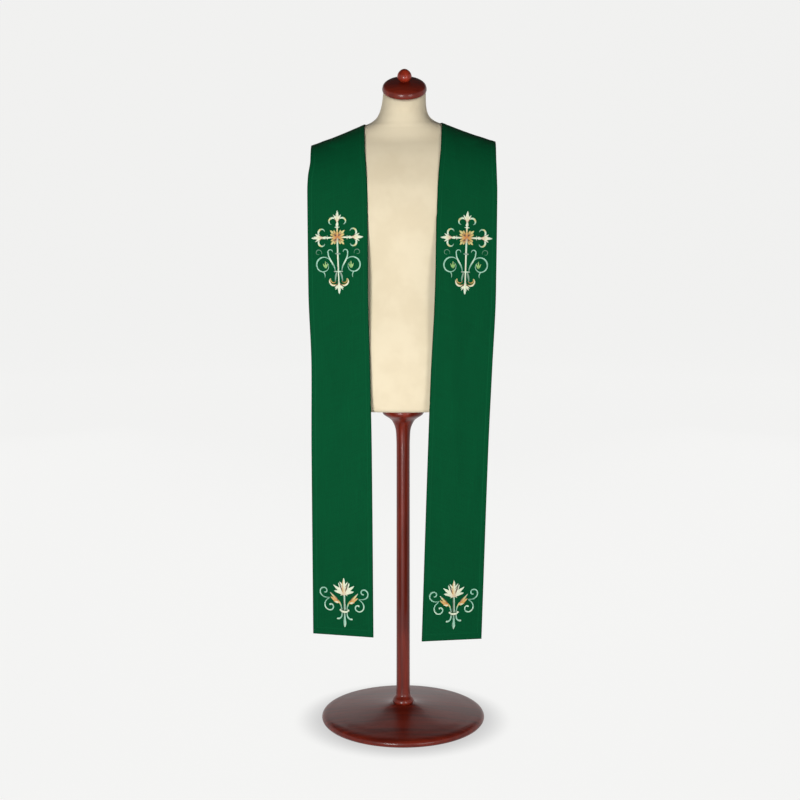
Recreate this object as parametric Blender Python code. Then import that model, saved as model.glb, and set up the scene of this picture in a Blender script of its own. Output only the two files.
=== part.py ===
"""A clerical stole over a limbless dress form on a turned wooden stand.

Metres, +Z up, the front towards -Y, the wearer's left towards +X. The origin is the
centre of the stand's underside. Every piece is a closed solid with its own name.
"""

from collections import namedtuple
from math import cos, pi, radians, sin, tan

import bmesh
import bpy
import numpy as np
from mathutils import Matrix, Vector

# Heights above the floor
BASE_HEIGHT = 0.042
NECK_TOP = 1.5215
SHOULDER_FROM = 1.300
SHOULDER_TO = 1.390
SHOULDER_LINE_END = 1.407
NECK_LEAN_FROM = 1.455

# The form
SEAT_GAP = 0.0003
FOOT_ROUNDING = 0.012
FOOT_SHOULDER = 0.3
NECK_LEAN = radians(26.0)
NECK_ASIDE = 0.0030
SHOULDER_TILT = tan(radians(1.3))
TORSO_SIDES = 56
TALLEST_STEP = 0.040
WOOD_SIDES = 36
CREASE = radians(40.0)

# The stole: how it clears the form, how its two strands hang in front, and where
# its curved back meets itself at the centre-back seam.
CLOTH_GAP = 0.0006
CLOTH_THICKNESS = 0.0020
EDGE_ROLL = 0.0007
SEAM_GAP = 0.0003
CHEST_FRONT = 0.1075
CHEST_AT_X = 0.083
STRAND_TURN = tan(radians(15.0))
INNER_CURVE_HEIGHT = 0.200
CURVE_HEIGHT_LOSS = 0.68
BACK_INNER_Z = 1.4340
BACK_DEPTH = 0.1440
BACK_INNER_Y = 0.0620
BACK_OUTER_Y = 0.0990
BACK_CROWDING = 1.1
HELD_TO = 0.165
FREE_FROM = 0.200
SETTLING_STEPS = 8
LONGEST_STEP = 0.010
COLUMNS = 10
BACK_ROWS = 18
CURVE_ROWS = 16
HANG_ROWS = 16

# Horizontal sections of the form, foot to neck: height, half width, half depth,
# centre from front to back, and squareness, where 2 is an ellipse.
Ring = namedtuple("Ring", "z width depth centre square")
FORM_RINGS = (
    Ring(0.780, 0.171, 0.101, 0.006, 2.3),
    Ring(0.860, 0.179, 0.107, 0.006, 2.3),
    Ring(0.930, 0.175, 0.106, 0.004, 2.3),
    Ring(1.000, 0.160, 0.099, 0.002, 2.2),
    Ring(1.070, 0.149, 0.093, 0.000, 2.2),
    Ring(1.130, 0.152, 0.098, 0.000, 2.2),
    Ring(1.200, 0.168, 0.111, 0.000, 2.2),
    Ring(1.250, 0.182, 0.116, 0.001, 2.2),
    Ring(1.300, 0.198, 0.112, 0.002, 2.2),
    Ring(1.335, 0.2075, 0.102, 0.002, 2.15),
    Ring(1.365, 0.2130, 0.090, 0.002, 2.1),
    Ring(1.380, 0.2135, 0.0830, 0.002, 2.05),
    Ring(1.390, 0.2115, 0.0775, 0.002, 2.0),
    Ring(1.396, 0.2085, 0.0740, 0.002, 2.0),
    Ring(1.4015, 0.2030, 0.0705, 0.002, 2.0),
    Ring(1.407, 0.1930, 0.0670, 0.002, 2.0),
    Ring(1.4175, 0.1625, 0.0620, 0.002, 2.0),
    Ring(1.4290, 0.1320, 0.0585, 0.002, 2.0),
    Ring(1.4390, 0.1070, 0.0562, 0.002, 2.0),
    Ring(1.4460, 0.0890, 0.0548, 0.001, 2.0),
    Ring(1.4525, 0.0740, 0.0533, 0.000, 2.0),
    Ring(1.462, 0.0620, 0.0522, -0.002, 2.0),
    Ring(1.475, 0.0550, 0.0510, -0.004, 2.0),
    Ring(1.490, 0.0515, 0.0500, -0.007, 2.0),
    Ring(1.505, 0.0500, 0.0496, -0.010, 2.0),
    Ring(1.5215, 0.0492, 0.0492, -0.012, 2.0),
)
RING_HEIGHTS = np.array([ring.z for ring in FORM_RINGS])

# A strand's two edges below the shoulder line: drop, and distance from the middle.
Edge = namedtuple("Edge", "drop inner outer")
RIGHT_EDGES = (
    Edge(0.000, 0.0890, 0.2135),
    Edge(0.045, 0.0870, 0.2135),
    Edge(0.100, 0.0822, 0.2185),
    Edge(0.150, 0.0804, 0.2200),
    Edge(0.380, 0.0800, 0.2195),
    Edge(0.560, 0.0760, 0.2140),
    Edge(0.760, 0.0726, 0.2155),
    Edge(1.210, 0.0700, 0.2155),
)
LEFT_EDGES = (
    Edge(0.000, 0.0890, 0.2145),
    Edge(0.045, 0.0855, 0.2140),
    Edge(0.100, 0.0790, 0.2150),
    Edge(0.150, 0.0765, 0.2160),
    Edge(0.380, 0.0723, 0.2150),
    Edge(0.560, 0.0640, 0.2080),
    Edge(0.760, 0.0570, 0.2000),
    Edge(1.210, 0.0435, 0.1875),
)

# Shallow bends across a hanging strand: where they lie, how long and how deep, and
# the edge that they fade towards, 0 for the inner and 1 for the outer.
Bend = namedtuple("Bend", "drop reach depth fades_to")
RIGHT_BENDS = (
    Bend(0.300, 0.110, 0.0020, 0.0),
    Bend(0.520, 0.120, -0.0045, 1.0),
    Bend(0.860, 0.200, 0.0030, 0.0),
)
LEFT_BENDS = (
    Bend(0.420, 0.130, 0.0040, 1.0),
    Bend(0.660, 0.150, -0.0035, 0.0),
    Bend(0.980, 0.170, 0.0025, 1.0),
)
BEND_FADE = 0.8

# side is -1 for the wearer's right and 1 for the left; the hem's height at its inner
# and outer corner.
Strand = namedtuple("Strand", "name side edges bends hem_inner hem_outer")
STRANDS = (
    Strand("stole_right", -1, RIGHT_EDGES, RIGHT_BENDS, 0.2435, 0.2415),
    Strand("stole_left", 1, LEFT_EDGES, LEFT_BENDS, 0.2360, 0.2305),
)

# Turned outlines: radius and height from the piece's own foot.
Turn = namedtuple("Turn", "radius height")
BASE_OUTLINE = (
    Turn(0.190, 0.000), Turn(0.197, 0.003), Turn(0.200, 0.009), Turn(0.197, 0.016), Turn(0.188, 0.020),
    Turn(0.150, 0.025), Turn(0.090, 0.031), Turn(0.050, 0.036), Turn(0.032, 0.041), Turn(0.030, 0.042),
)
POLE_OUTLINE = (
    Turn(0.024, 0.000), Turn(0.026, 0.005), Turn(0.024, 0.012), Turn(0.0175, 0.022), Turn(0.0165, 0.060),
    Turn(0.0160, 0.640), Turn(0.0175, 0.680), Turn(0.026, 0.704), Turn(0.040, 0.717), Turn(0.048, 0.722),
    Turn(0.050, 0.728), Turn(0.048, 0.7374),
)
CAP_OUTLINE = (
    Turn(0.0479, 0.0000), Turn(0.0503, 0.0010), Turn(0.0515, 0.0038), Turn(0.0513, 0.0078),
    Turn(0.0498, 0.0127), Turn(0.0464, 0.0168), Turn(0.0404, 0.0204), Turn(0.0316, 0.0230),
    Turn(0.0215, 0.0245), Turn(0.0112, 0.0250),
)
KNOB_OUTLINE = (
    Turn(0.0098, 0.0000), Turn(0.0110, 0.0012), Turn(0.0133, 0.0036), Turn(0.0155, 0.0068),
    Turn(0.0166, 0.0104), Turn(0.0163, 0.0142), Turn(0.0147, 0.0184), Turn(0.0120, 0.0222),
    Turn(0.0084, 0.0256), Turn(0.0046, 0.0277), Turn(0.0016, 0.0283),
)
CAP_HEIGHT = 0.0250

Finish = namedtuple("Finish", "name colour roughness metallic")
GREEN_CLOTH = Finish("green_cloth", (0.006, 0.082, 0.030, 1.0), 0.80, 0.0)
FORM_COVER = Finish("form_cover", (0.80, 0.74, 0.62, 1.0), 0.85, 0.0)
RED_WOOD = Finish("red_wood", (0.165, 0.022, 0.012, 1.0), 0.25, 0.0)


def clear_scene():
    for thing in list(bpy.data.objects):
        bpy.data.objects.remove(thing, do_unlink=True)


def material_for(finish):
    material = bpy.data.materials.new(finish.name)
    material.use_nodes = True
    shader = material.node_tree.nodes["Principled BSDF"]
    shader.inputs["Base Color"].default_value = finish.colour
    shader.inputs["Roughness"].default_value = finish.roughness
    shader.inputs["Metallic"].default_value = finish.metallic
    return material


def make_object(name, points, faces, material):
    """One closed, smooth-shaded piece, its faces turned outwards."""
    mesh = bpy.data.meshes.new(name)
    mesh.from_pydata([tuple(point) for point in points], [], faces)
    shape = bmesh.new()
    shape.from_mesh(mesh)
    bmesh.ops.recalc_face_normals(shape, faces=shape.faces)
    shape.to_mesh(mesh)
    shape.free()
    mesh.shade_smooth()
    mesh.set_sharp_from_angle(angle=CREASE)
    mesh.materials.append(material)
    piece = bpy.data.objects.new(name, mesh)
    bpy.context.scene.collection.objects.link(piece)
    return piece


def smooth_through(at, knots, values):
    """A curve through the values that never swings past them."""
    knots = np.asarray(knots, float)
    values = np.asarray(values, float)
    steps = np.diff(knots)
    rises = np.diff(values) / steps
    slopes = np.zeros_like(values)
    slopes[0] = rises[0]
    slopes[-1] = rises[-1]
    product = rises[:-1] * rises[1:]
    same_way = product > 0
    both = np.where(same_way, rises[:-1] + rises[1:], 1.0)
    slopes[1:-1] = np.where(same_way, 2 * product / both, 0.0)
    at = np.clip(at, knots[0], knots[-1])
    span = np.clip(np.searchsorted(knots, at, side="right") - 1, 0, len(steps) - 1)
    step = steps[span]
    part = (at - knots[span]) / step
    rise = 3 * part**2 - 2 * part**3
    level = values[span] * (1 - rise) + values[span + 1] * rise
    leaving = slopes[span] * (part**3 - 2 * part**2 + part)
    arriving = slopes[span + 1] * (part**3 - part**2)
    return level + step * (leaving + arriving)


def ring_value(column, z):
    return smooth_through(z, RING_HEIGHTS, [getattr(ring, column) for ring in FORM_RINGS])


def smooth_step(value, low, high):
    part = np.clip((value - low) / (high - low), 0.0, 1.0)
    return part * part * (3 - 2 * part)


def carried(points):
    """The wearer's left shoulder is carried a little higher than the right one, and the neck is level."""
    moved = np.array(points, float)
    z = moved[..., 2]
    share = smooth_step(z, SHOULDER_FROM, SHOULDER_TO) - smooth_step(z, NECK_LEAN_FROM, NECK_TOP)
    moved[..., 2] = z + SHOULDER_TILT * moved[..., 0] * share
    return moved


def form_reach(points):
    """How far outside the form's section each point lies: 0 on it, as a share of its size."""
    x, y, z = np.moveaxis(points, -1, 0)
    square = ring_value("square", z)
    across = np.abs(x) / ring_value("width", z)
    along = np.abs(y - ring_value("centre", z)) / ring_value("depth", z)
    return (across**square + along**square) ** (1 / square) - 1


def form_slope(points, probe=0.0002):
    steps = np.eye(3) * probe
    rises = [form_reach(points + step) - form_reach(points - step) for step in steps]
    return np.stack(rises, -1) / (2 * probe)


def laid_on_form(points, hold):
    """Points nearer to the form than CLOTH_GAP moved out to it, and others drawn in by their hold, 0 to 1."""
    points = np.array(points, float)
    for _ in range(SETTLING_STEPS):
        slope = form_slope(points)
        steepness = np.linalg.norm(slope, axis=-1)
        move = CLOTH_GAP - form_reach(points) / steepness
        move = np.where(move < 0, move * hold, move)
        points += slope / steepness[..., None] * np.clip(move, -LONGEST_STEP, LONGEST_STEP)[..., None]
    return points


def shoulder_line(x):
    """Height of the shoulder line at a distance from the middle, straight on past the form's own end."""
    line = [ring for ring in FORM_RINGS if ring.z >= SHOULDER_LINE_END]
    widths = [ring.width for ring in reversed(line)]
    heights = [ring.z for ring in reversed(line)]
    fall = (heights[-2] - heights[-1]) / (widths[-1] - widths[-2])
    return smooth_through(x, widths, heights) - fall * np.maximum(x - widths[-1], 0.0)


def hanging_front(x):
    """Depth at which a strand hangs, one flat turned face that touches the chest."""
    return -(CHEST_FRONT - STRAND_TURN * (x - CHEST_AT_X))


def front_rows(strand, columns):
    """The strand from the shoulder line down to the hem, one row of points at a time."""
    drops = [edge.drop for edge in strand.edges]
    inner = [edge.inner for edge in strand.edges]
    outer = [edge.outer for edge in strand.edges]
    rows = []
    middle_height = INNER_CURVE_HEIGHT - CURVE_HEIGHT_LOSS * (outer[0] - inner[0]) / 2
    for step in range(CURVE_ROWS + 1):
        turn = pi / 2 * step / CURVE_ROWS
        drop = middle_height * (1 - cos(turn))
        x = smooth_through(drop, drops, inner) * (1 - columns) + smooth_through(drop, drops, outer) * columns
        height = INNER_CURVE_HEIGHT - CURVE_HEIGHT_LOSS * (x - inner[0])
        y = hanging_front(x) * sin(turn)
        z = shoulder_line(x) + CLOTH_GAP - height * (1 - cos(turn))
        rows.append(np.stack([x, y, z], -1))
    chest_z = rows[-1][:, 2]
    hem_z = strand.hem_inner * (1 - columns) + strand.hem_outer * columns
    top_z = shoulder_line(np.array(inner[0]))
    for step in range(1, HANG_ROWS + 1):
        z = chest_z + (hem_z - chest_z) * step / HANG_ROWS
        drop = top_z - z
        x = smooth_through(drop, drops, inner) * (1 - columns) + smooth_through(drop, drops, outer) * columns
        y = hanging_front(x)
        for bend in strand.bends:
            fade = 1 - BEND_FADE * np.abs(columns - (1 - bend.fades_to))
            y = y - bend.depth * fade * np.exp(-(((drop - bend.drop) / bend.reach) ** 2))
        rows.append(np.stack([x, y, z], -1))
    return laid_on_form(np.array(rows), hold=0.0)


def back_rows(strand, columns):
    """The strand from the centre-back seam up to the shoulder line, lying on the form."""
    top_x = strand.edges[0].inner * (1 - columns) + strand.edges[0].outer * columns
    top_z = shoulder_line(top_x)
    seam_z = BACK_INNER_Z - BACK_DEPTH * columns
    seam_y = BACK_INNER_Y * (1 - columns) + BACK_OUTER_Y * columns
    rows = []
    for step in range(BACK_ROWS):
        turn = pi / 2 * (1 - step / BACK_ROWS) ** BACK_CROWDING
        x = top_x * cos(turn)
        y = seam_y * sin(turn)
        z = top_z + (seam_z - top_z) * sin(turn) ** 2
        rows.append(np.stack([x, y, z], -1))
    grid = np.array(rows)
    laid = laid_on_form(grid, hold=1 - smooth_step(grid[..., 0], HELD_TO, FREE_FROM))
    laid[0, :, 0] = SEAM_GAP / 2
    return laid


def grid_normals(grid):
    along = np.gradient(grid, axis=0)
    across = np.gradient(grid, axis=1)
    normals = np.cross(along, across)
    return normals / np.linalg.norm(normals, axis=-1, keepdims=True)


def wall_of(inner, thickness, roll):
    """A closed wall on a grid of points, its free edges rolled round."""
    normals = grid_normals(inner)
    outer = inner + normals * thickness
    middle = (inner + outer) / 2
    rows, columns = inner.shape[:2]
    rim = [(row, 0) for row in range(rows)]
    rim += [(rows - 1, column) for column in range(1, columns)]
    rim += [(row, columns - 1) for row in range(rows - 2, -1, -1)]
    rim += [(0, column) for column in range(columns - 2, 0, -1)]
    edge = []
    for row, column in rim:
        outwards = np.zeros(3)
        if column in (0, columns - 1):
            outwards += middle[row, column] - middle[row, 1 if column == 0 else columns - 2]
        if row == rows - 1:
            outwards += middle[row, column] - middle[row - 1, column]
        length = np.linalg.norm(outwards)
        edge.append(middle[row, column] + (outwards / length * roll if length else outwards))
    points = np.concatenate([inner.reshape(-1, 3), outer.reshape(-1, 3), np.array(edge)])
    count = rows * columns
    faces = []
    for row in range(rows - 1):
        for column in range(columns - 1):
            a = row * columns + column
            quad = (a, a + 1, a + columns + 1, a + columns)
            faces.append(quad)
            faces.append(tuple(count + corner for corner in reversed(quad)))
    for place, (row, column) in enumerate(rim):
        following = (place + 1) % len(rim)
        a = row * columns + column
        b = rim[following][0] * columns + rim[following][1]
        faces.append((a, b, 2 * count + following, 2 * count + place))
        faces.append((2 * count + place, 2 * count + following, count + b, count + a))
    return points, faces


def make_strand(strand, material):
    columns = np.linspace(0.0, 1.0, COLUMNS + 1)
    inner = np.concatenate([back_rows(strand, columns), front_rows(strand, columns)])
    points, faces = wall_of(inner, CLOTH_THICKNESS, EDGE_ROLL)
    points[:, 0] = np.maximum(points[:, 0], SEAM_GAP / 2)
    points[:, 0] *= strand.side
    return make_object(strand.name, carried(points), faces, material)


def ring_points(width, depth, centre, square, z):
    turns = np.linspace(0, 2 * pi, TORSO_SIDES, endpoint=False)
    x = width * np.sign(np.cos(turns)) * np.abs(np.cos(turns)) ** (2 / square)
    y = centre + depth * np.sign(np.sin(turns)) * np.abs(np.sin(turns)) ** (2 / square)
    return np.stack([x, y, np.full_like(x, z)], -1)


def loft_faces(rings, sides):
    faces = [tuple(reversed(range(sides)))]
    for ring in range(rings - 1):
        for side in range(sides):
            following = (side + 1) % sides
            low = ring * sides
            faces.append((low + side, low + following, low + sides + following, low + sides + side))
    faces.append(tuple(range((rings - 1) * sides, rings * sides)))
    return faces


def make_form(material):
    foot = FORM_RINGS[0]
    shoulder = FOOT_ROUNDING * FOOT_SHOULDER
    rings = []
    for inset, z in ((FOOT_ROUNDING, foot.z), (shoulder, foot.z + shoulder)):
        rings.append(ring_points(foot.width - inset, foot.depth - inset, foot.centre, foot.square, z))
    heights = [foot.z + FOOT_ROUNDING]
    for low, high in zip(FORM_RINGS, FORM_RINGS[1:]):
        halves = 2 if high.z - low.z > TALLEST_STEP else 1
        heights += [low.z + (high.z - low.z) * (half + 1) / halves for half in range(halves)]
    for z in heights:
        values = [float(ring_value(column, z)) for column in ("width", "depth", "centre", "square")]
        rings.append(ring_points(*values, z))
    level = np.concatenate(rings)
    points = carried(level)
    lean = smooth_step(level[:, 2], NECK_LEAN_FROM, NECK_TOP)
    points[:, 2] += lean * tan(NECK_LEAN) * (points[:, 1] - FORM_RINGS[-1].centre)
    points[:, 0] += lean * NECK_ASIDE
    return make_object("form_body", points, loft_faces(len(rings), TORSO_SIDES), material)


def make_turned(name, outline, place, lean, material):
    """A turned piece, standing at its place and leaning forwards."""
    turns = np.linspace(0, 2 * pi, WOOD_SIDES, endpoint=False)
    circle = np.stack([np.cos(turns), np.sin(turns), np.zeros_like(turns)], -1)
    rings = [circle * turn.radius + np.array([0.0, 0.0, turn.height]) for turn in outline]
    piece = make_object(name, np.concatenate(rings), loft_faces(len(rings), WOOD_SIDES), material)
    piece.location = place
    piece.rotation_euler = (lean, 0.0, 0.0)
    return piece


def make_stand(material):
    make_turned("stand_base", BASE_OUTLINE, Vector((0, 0, 0)), 0.0, material)
    make_turned("stand_pole", POLE_OUTLINE, Vector((0, 0, BASE_HEIGHT + SEAT_GAP)), 0.0, material)


def make_cap(material):
    seat = Vector((NECK_ASIDE, FORM_RINGS[-1].centre, NECK_TOP))
    upwards = Matrix.Rotation(NECK_LEAN, 3, "X") @ Vector((0, 0, 1))
    make_turned("neck_cap", CAP_OUTLINE, seat + upwards * SEAT_GAP, NECK_LEAN, material)
    make_turned("cap_knob", KNOB_OUTLINE, seat + upwards * (CAP_HEIGHT + 2 * SEAT_GAP), NECK_LEAN, material)


def main():
    clear_scene()
    green = material_for(GREEN_CLOTH)
    cover = material_for(FORM_COVER)
    wood = material_for(RED_WOOD)
    for strand in STRANDS:
        make_strand(strand, green)
    make_form(cover)
    make_cap(wood)
    make_stand(wood)


main()
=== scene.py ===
from math import cos, pi, radians, sin, tan

import bpy
import numpy as np
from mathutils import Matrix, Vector
from mathutils.bvhtree import BVHTree


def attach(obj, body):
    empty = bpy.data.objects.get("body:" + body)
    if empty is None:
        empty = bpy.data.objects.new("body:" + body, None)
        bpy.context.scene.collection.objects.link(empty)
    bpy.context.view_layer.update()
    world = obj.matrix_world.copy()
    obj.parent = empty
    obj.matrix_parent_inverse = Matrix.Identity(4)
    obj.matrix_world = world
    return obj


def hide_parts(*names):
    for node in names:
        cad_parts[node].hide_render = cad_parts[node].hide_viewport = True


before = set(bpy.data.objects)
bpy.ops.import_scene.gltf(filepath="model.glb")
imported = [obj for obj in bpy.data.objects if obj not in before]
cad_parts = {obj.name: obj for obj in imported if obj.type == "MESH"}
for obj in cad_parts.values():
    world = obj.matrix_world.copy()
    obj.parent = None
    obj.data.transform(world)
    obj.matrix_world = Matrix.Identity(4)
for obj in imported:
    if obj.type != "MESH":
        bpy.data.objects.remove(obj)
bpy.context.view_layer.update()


# What leaves one node of a finish: sums and products of it add the Math nodes
class Wire:
    def __init__(self, finish, socket):
        self.finish = finish
        self.socket = socket

    def math(self, operation, first, second=0.0):
        return self.finish.node("ShaderNodeMath", {"operation": operation}, {0: first, 1: second})

    def __add__(self, other):
        return self.math("ADD", self, other)

    __radd__ = __add__

    def __sub__(self, other):
        return self.math("SUBTRACT", self, other)

    def __rsub__(self, other):
        return self.math("SUBTRACT", other, self)

    def __mul__(self, other):
        return self.math("MULTIPLY", self, other)

    def wave(self):
        return self.math("SINE", self)

    def size(self):
        return self.math("ABSOLUTE", self)

    def soft(self, low, high):  # 0 below low, 1 above high, smooth between
        return self.finish.node(
            "ShaderNodeMapRange", {"interpolation_type": "SMOOTHSTEP"},
            {"Value": self, "From Min": low, "From Max": high},
        )


class Finish:
    def __init__(self, name, **fixed):
        self.material = bpy.data.materials.new(name)
        self.material.use_nodes = True
        self.tree = self.material.node_tree
        self.shader = self.tree.nodes["Principled BSDF"]
        self.drive(**fixed)

    def node(self, kind, settings=None, sockets=None, out=0):
        made = self.tree.nodes.new(kind)
        for name, value in (settings or {}).items():
            setattr(made, name, value)
        for name, value in (sockets or {}).items():
            self.feed(made.inputs[name], value)
        return Wire(self, made.outputs[out])

    def feed(self, socket, value):
        if isinstance(value, Wire):
            self.tree.links.new(value.socket, socket)
        else:
            socket.default_value = value

    def drive(self, **sockets):  # of the shader, with _ for a space
        for name, value in sockets.items():
            self.feed(self.shader.inputs[name.replace("_", " ")], value)

    def ends(self, wire):  # x, y and z of a vector
        made = self.tree.nodes.new("ShaderNodeSeparateXYZ")
        self.feed(made.inputs[0], wire)
        return [Wire(self, output) for output in made.outputs]

    def join(self, x, y, z):
        return self.node("ShaderNodeCombineXYZ", None, {0: x, 1: y, 2: z})

    def mapOf(self, name):
        return self.node("ShaderNodeUVMap", {"uv_map": name})

    def place(self):  # the piece's own coordinates, in metres
        return self.node("ShaderNodeTexCoord", None, None, out=3)

    def noise(self, vector, scale, detail=2.0, rough=0.5, twist=0.0):
        return self.node(
            "ShaderNodeTexNoise", None,
            {"Vector": vector, "Scale": scale, "Detail": detail, "Roughness": rough, "Distortion": twist},
        )

    def blend(self, share, first, second, how="MIX"):
        return self.node(
            "ShaderNodeMix", {"data_type": "RGBA", "blend_type": how},
            {0: share, 6: first, 7: second}, out=2,
        )

    def bump(self, height, strength, distance):
        sockets = {"Strength": strength, "Distance": distance, "Height": height}
        return self.node("ShaderNodeBump", None, sockets)


def screen(red, green, blue, alpha=1.0):  # a colour as a screen shows it, 0 to 255
    parts = []
    for value in (red, green, blue):
        value = value / 255
        parts.append(value / 12.92 if value < 0.04045 else ((value + 0.055) / 1.055) ** 2.4)
    return (*parts, alpha)


def pick(piece):
    bpy.ops.object.select_all(action="DESELECT")
    piece.select_set(True)
    bpy.context.view_layer.objects.active = piece


def applyAll(piece):
    pick(piece)
    for modifier in list(piece.modifiers):
        bpy.ops.object.modifier_apply(modifier=modifier.name)


def wear(piece, finish, replaced=()):
    piece.data.materials.clear()
    piece.data.materials.append(finish.material)
    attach(piece, "root")
    if replaced:
        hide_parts(*replaced)


# Green cloth: plain weave, slubs along both threads, with painted shade between the threads and along the
# rolled edges and hem
greenCloth = {
    "light": screen(0, 91, 51),
    "dark": screen(0, 77, 43),
    # the colour of the painted shade
    "edge": screen(3, 48, 26),
    "line": screen(14, 98, 58),
    "thread": 0.0009,  # metres from thread to thread
    "drift": (40.0, 0.0012),  # how often and how far the threads wander
    "streaks": (900.0, 14.0), "slubs": (16.0, 800.0),  # how fine, across and along the strand
    "shares": (0.42, 0.42, 0.16),  # of streaks, slubs and clouds in the tone
    "gaps": 0.30,  # how dark the painted shade between the threads is
    # painted shade along the edges and hem: how far in it reaches, and how strong it is
    "edgeReach": (0.0004, 0.0030), "edgeShade": 0.8,
    "allowance": 0.0105, "hemTurn": 0.0160,  # where the turned edge ends beneath
    "lineWidth": (0.0003, 0.001),  # half of it, and how far it fades
    "lineShades": (0.30, 0.22),  # along the edges, along the hem
}


def makeGreen():
    finish = Finish(
        "green_weave", Roughness=0.8, Sheen_Weight=0.02, Sheen_Roughness=0.4, Specular_IOR_Level=0.04,
    )
    across, along, _ = finish.ends(finish.mapOf("cloth"))
    fromEdge, fromHem, _ = finish.ends(finish.mapOf("edges"))
    # threads never lie dead straight
    often, far = greenCloth["drift"]
    drift = finish.noise(finish.join(across * often, along * often, 2.0), 1.0, 2.0) * far
    turn = pi / greenCloth["thread"]
    weave = ((across + drift) * turn).wave() * ((along + drift) * turn).wave()
    streaks, slubs = (
        finish.noise(finish.join(across * wide, along * long, seed), 1.0, 3.0, 0.6)
        for (wide, long), seed in ((greenCloth["streaks"], 0.0), (greenCloth["slubs"], 4.0))
    )
    clouds = finish.noise(finish.join(across, along, 9.0), 9.0, 3.0, 0.55)
    shares = greenCloth["shares"]
    tone = streaks * shares[0] + slubs * shares[1] + clouds * shares[2]
    base = finish.blend(tone.soft(0.30, 0.70), greenCloth["dark"], greenCloth["light"])
    # painted shade between the threads
    base = finish.blend(greenCloth["gaps"] - weave * greenCloth["gaps"], base, greenCloth["edge"])
    # the end of each turning shows as a thin line, up to where it meets the other one
    turnings = ((fromEdge, greenCloth["allowance"]), (fromHem, greenCloth["hemTurn"]))
    half, fade = greenCloth["lineWidth"]
    lines = [1 - (part - end).size().soft(half, half + fade) for part, end in turnings]
    inside = [part.soft(end - fade, end) for part, end in turnings]
    byEdge, byHem = greenCloth["lineShades"]
    shown = lines[0] * inside[1] * byEdge + lines[1] * inside[0] * byHem
    base = finish.blend(shown, base, greenCloth["line"])
    # painted shade along the edges and the hem, where the rolled edge turns from the light
    clear = [part.soft(*greenCloth["edgeReach"]) for part in (fromEdge, fromHem)]
    turned = 1 - clear[0] * clear[1]
    base = finish.blend(turned * greenCloth["edgeShade"], base, greenCloth["edge"])
    relief = finish.bump(weave * 0.5 + streaks * 0.8 + slubs * 0.8, 0.35, 0.0003)
    finish.drive(Base_Color=base, Roughness=0.74 + tone * 0.14, Normal=relief)
    return finish


# Jersey of the form: fine upright wales
jersey = {"light": screen(232, 218, 188), "dark": screen(226, 211, 180), "wale": 0.0013}


def makeJersey():
    finish = Finish(
        "cream_jersey", Roughness=0.9, Sheen_Weight=0.15, Sheen_Roughness=0.5, Specular_IOR_Level=0.2,
    )
    around, up, _ = finish.ends(finish.mapOf("cloth"))
    wales = (around * (2 * pi / jersey["wale"])).wave()
    courses = (up * (2 * pi / (jersey["wale"] * 0.8)) + wales * 1.4).wave()
    clouds = finish.noise(finish.place(), 11.0, 3.0, 0.6)
    fuzz = finish.noise(finish.place(), 900.0, 2.0, 0.6)
    base = finish.blend(clouds.soft(0.35, 0.65), jersey["dark"], jersey["light"])
    relief = finish.bump(wales * 0.5 + courses * 0.3 + fuzz * 0.6, 0.2, 0.0003)
    finish.drive(Base_Color=base, Normal=relief)
    return finish


# Turned red wood under a clear gloss
redWood = {
    "deep": screen(86, 20, 10),
    "red": screen(130, 38, 19),
    "pore": screen(46, 10, 6),
    "grain": (60.0, 4.0), "pores": (520.0, 16.0),  # how fine, across and along the grain
    "flatGrain": (60.0, 5.0), "flatPores": (520.0, 18.0),
    "knobLift": 1.9,  # the knob is coloured this much paler than the other wood
}


def makeWood(name, lift=1.0, upright=True):
    finish = Finish(name, Roughness=0.3, Coat_Weight=0.22, Coat_Roughness=0.1, Specular_IOR_Level=0.18)
    x, y, z = finish.ends(finish.place())
    kinds = ("grain", "pores") if upright else ("flatGrain", "flatPores")
    grain, fine = (
        finish.join(x * cross, y * cross, z * run) if upright else finish.join(x * run, y * cross, z * cross)
        for cross, run in (redWood[kind] for kind in kinds)
    )
    figure = finish.noise(grain, 1.0, 4.0, 0.6)
    pores = finish.noise(fine, 1.0, 2.0, 0.6)
    bands = finish.noise(grain, 0.5, 3.0, twist=1.2)
    deep, red = ((*(min(1.0, part * lift) for part in redWood[tone][:3]), 1.0) for tone in ("deep", "red"))
    base = finish.blend((figure * 0.6 + bands * 0.4).soft(0.32, 0.68), deep, red)
    base = finish.blend(pores.soft(0.58, 0.74) * 0.55, base, redWood["pore"])
    relief = finish.bump(pores, 0.06, 0.0002)
    finish.drive(Base_Color=base, Roughness=0.30 + figure * 0.12, Normal=relief)
    return finish


# Embroidery thread: its colour is sewn into each piece as an attribute
def makeThread():
    finish = Finish(
        "embroidery_thread", Roughness=0.42, Sheen_Weight=0.1, Sheen_Roughness=0.3, Specular_IOR_Level=0.5,
    )
    colour = finish.node("ShaderNodeAttribute", {"attribute_name": "thread"})
    along, across, _ = finish.ends(finish.mapOf("stitches"))
    fibre = finish.noise(finish.join(along * 7000.0, across * 500.0, 0.0), 1.0, 2.0, 0.6)
    shaded = finish.blend(1.0, colour, (0.80, 0.80, 0.78, 1.0), "MULTIPLY")
    base = finish.blend(fibre.soft(0.30, 0.70), shaded, colour)
    relief = finish.bump(fibre, 0.25, 0.0002)
    finish.drive(Base_Color=base, Roughness=0.34 + fibre * 0.2, Normal=relief)
    return finish


greenFinish = makeGreen()
jerseyFinish = makeJersey()
print("finishes made")


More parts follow.
